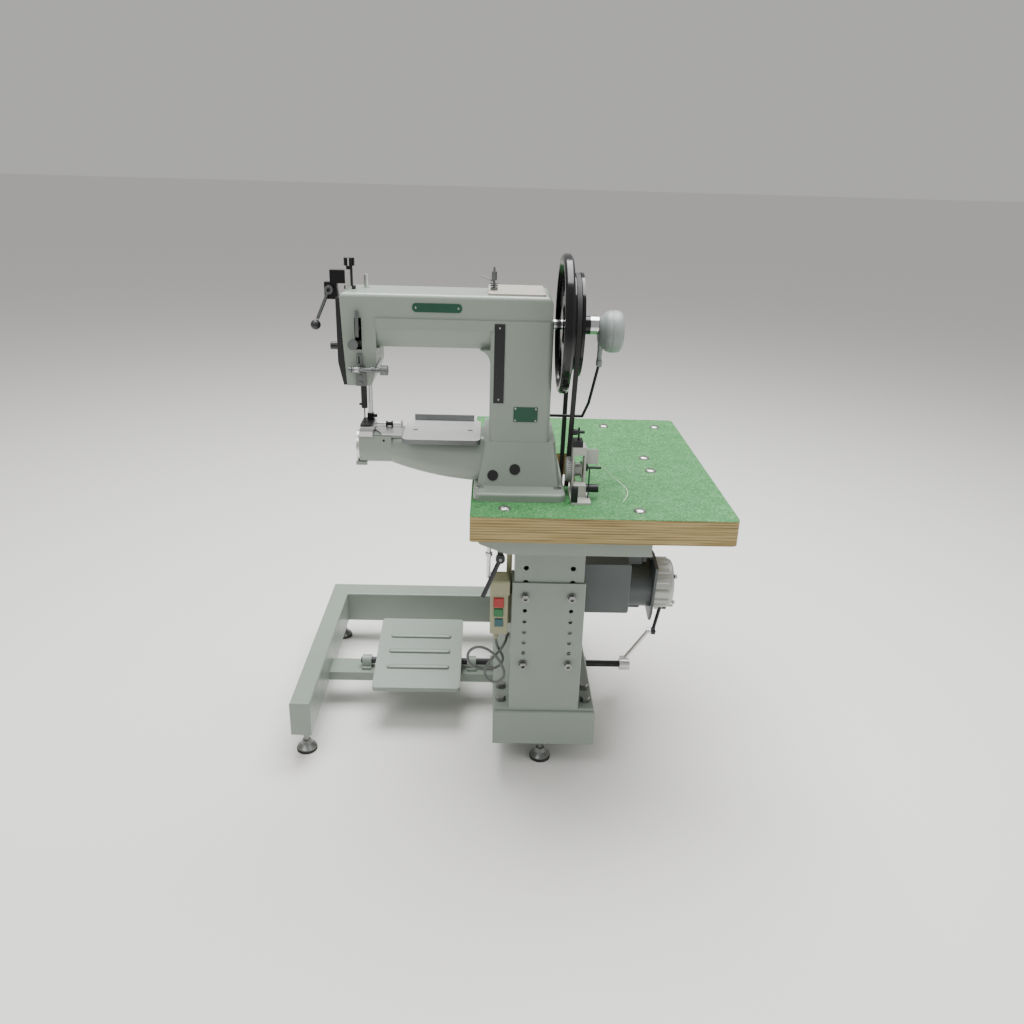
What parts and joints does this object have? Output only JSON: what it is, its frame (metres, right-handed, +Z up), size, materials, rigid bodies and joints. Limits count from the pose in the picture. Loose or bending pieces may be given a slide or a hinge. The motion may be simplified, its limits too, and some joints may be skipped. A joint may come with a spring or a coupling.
{
  "type": "cylinder arm sewing machine",
  "caption": "Heavy-duty cylinder-arm sewing machine on a column stand with a green table, treadle, belt drive and under-table motor.",
  "frame": {"origin": "on the floor, under the middle of the machine's bounding box", "axes": "+X from the needle end to the hand wheel, +Y away from the operator, +Z up"},
  "size_m": [0.89, 0.725, 1.1015],
  "materials": {
    "enamel": "satin",
    "frame_enamel": "satin",
    "plywood": "matt",
    "green_laminate": "satin",
    "cream_plastic": "satin",
    "black_plastic": "satin",
    "dark_grey_plastic": "matt",
    "red_plastic": "gloss",
    "green_plastic": "gloss",
    "blue_plastic": "gloss",
    "black_enamel": "gloss",
    "badge_green": "satin",
    "steel": "satin",
    "chrome": "polished",
    "black_steel": "satin",
    "cast_aluminium": "matt",
    "motor_enamel": "satin",
    "winder_enamel": "satin",
    "belt_rubber": "matt",
    "pvc_grey": "satin",
    "thread_white": "matt"
  },
  "bodies": {
    "machine": {"arm_casting": "enamel", "arm_cover_plate": "steel", "arm_top_cover": "enamel", "base_foot": "frame_enamel", "bed_casting": "enamel", "black_trim": "black_plastic", "control_box": "dark_grey_plastic", "drive_belt": "belt_rubber", "face_plate": "black_enamel", "floor_frame": "frame_enamel", "green_plates": "badge_green", "inner_column": "frame_enamel", "levelling_feet": "steel", "machine_bolts": "chrome", "mains_coil": "pvc_grey", "mains_lead": "pvc_grey", "mains_plug": "black_plastic", "motor_body": "motor_enamel", "motor_bracket": "motor_enamel", "motor_end_cover": "cast_aluminium", "needle_plate": "steel", "outer_column": "frame_enamel", "presser_regulator": "black_steel", "shaft_bearings": "frame_enamel", "stand_bolts": "steel", "switch_box": "cream_plastic", "switch_hood": "cream_plastic", "synchroniser_body": "dark_grey_plastic", "synchroniser_rod": "black_steel", "table_bearers": "frame_enamel", "table_laminate": "green_laminate", "table_top": "plywood", "tension_set": "steel", "thread_guides": "steel", "winder_frame": "winder_enamel", "winder_thread": "thread_white", "winder_trim": "black_steel", "work_table": "steel"},
    "treadle": {"treadle_plate": "frame_enamel", "treadle_shaft": "black_steel"},
    "pitman": {"pitman_rod": "black_steel"},
    "lever": {"motor_lever": "black_steel"},
    "motor_rotor": {"motor_pulley": "steel"},
    "head_drive": {"main_shaft": "chrome", "hand_wheel": "black_enamel", "drive_pulley": "black_enamel"},
    "shuttle": {"lower_shaft": "steel"},
    "cap": {"end_cap": "chrome"},
    "needle": {"needle_bar": "black_steel"},
    "presser": {"presser_bar": "steel", "presser_foot": "black_steel"},
    "take_up": {"take_up_lever": "steel"},
    "lifter": {"hand_lifter": "steel"},
    "tension_nut": {"tension_knob": "steel"},
    "winder_spindle": {"winder_wheel": "cast_aluminium"},
    "guide": {"edge_guide": "black_steel"},
    "under_lever": {"lifter_lever": "black_steel"},
    "stop_button": {"red_button": "red_plastic"},
    "start_button": {"green_button": "green_plastic"},
    "spare_button": {"blue_button": "blue_plastic"}
  },
  "joints": [
    {"name": "treadle_rock", "type": "hinge", "parent": "machine", "child": "treadle", "pos_m": [-0.18, 0.0375, 0.104], "axis": [1, 0, 0], "range_deg": [-12, 8], "stiffness_Nm_per_rad": 20},
    {"name": "pitman_lower_eye", "type": "hinge", "parent": "treadle", "child": "pitman", "pos_m": [0.404, 0.0975, 0.165], "axis": [1, 0, 0], "range_deg": [-8, 12]},
    {"name": "motor_lever_turn", "type": "hinge", "parent": "machine", "child": "lever", "pos_m": [0.4, 0.0375, 0.271], "axis": [1, 0, 0], "range_deg": [-12, 8]},
    {"name": "motor_spin", "type": "hinge", "parent": "machine", "child": "motor_rotor", "pos_m": [0.139, -0.04, 0.372], "axis": [1, 0, 0], "continuous": true},
    {"name": "main_shaft_turn", "type": "hinge", "parent": "machine", "child": "head_drive", "pos_m": [0.139, -0.16, 0.971], "axis": [1, 0, 0], "continuous": true},
    {"name": "shuttle_swing", "type": "hinge", "parent": "machine", "child": "shuttle", "pos_m": [-0.25, -0.16, 0.724], "axis": [1, 0, 0], "range_deg": [-104, 104]},
    {"name": "end_cap_hinge", "type": "hinge", "parent": "machine", "child": "cap", "pos_m": [-0.281, -0.16, 0.69], "axis": [0, -1, 0], "range_deg": [0, 90]},
    {"name": "needle_stroke", "type": "slide", "parent": "machine", "child": "needle", "axis": [0, 0, 1], "range_m": [-0.022, 0.02]},
    {"name": "presser_lift", "type": "slide", "parent": "machine", "child": "presser", "axis": [0, 0, 1], "range_m": [0, 0.012]},
    {"name": "take_up_stroke", "type": "slide", "parent": "machine", "child": "take_up", "axis": [0, 0, 1], "range_m": [-0.028, 0]},
    {"name": "hand_lift", "type": "hinge", "parent": "machine", "child": "lifter", "pos_m": [-0.322, -0.174, 1.027], "axis": [0, 1, 0], "range_deg": [0, 75]},
    {"name": "tension_turn", "type": "hinge", "parent": "machine", "child": "tension_nut", "pos_m": [-0.216, -0.232, 0.891], "axis": [1, 0, 0], "continuous": true},
    {"name": "winder_spin", "type": "hinge", "parent": "machine", "child": "winder_spindle", "pos_m": [0.136, -0.215, 0.7], "axis": [1, 0, 0], "continuous": true},
    {"name": "guide_slide", "type": "slide", "parent": "machine", "child": "guide", "axis": [1, 0, 0], "range_m": [-0.012, 0.01]},
    {"name": "under_lever_turn", "type": "hinge", "parent": "machine", "child": "under_lever", "pos_m": [0.006, -0.33, 0.557], "axis": [0, 1, 0], "range_deg": [-15, 20]},
    {"name": "stop_press", "type": "slide", "parent": "machine", "child": "stop_button", "axis": [0, 1, 0], "range_m": [0, 0.003], "stiffness_N_per_m": 300},
    {"name": "start_press", "type": "slide", "parent": "machine", "child": "start_button", "axis": [0, 1, 0], "range_m": [0, 0.003], "stiffness_N_per_m": 300},
    {"name": "spare_press", "type": "slide", "parent": "machine", "child": "spare_button", "axis": [0, 1, 0], "range_m": [0, 0.003], "stiffness_N_per_m": 300}
  ],
  "couplings": [
    {"joint": "pitman_lower_eye", "follows": "treadle_rock", "ratio": -1},
    {"joint": "motor_lever_turn", "follows": "treadle_rock", "ratio": 1},
    {"joint": "motor_spin", "follows": "main_shaft_turn", "ratio": 1.94},
    {"joint": "presser_lift", "follows": "hand_lift", "m_per_rad": 0.0091582}
  ]
}
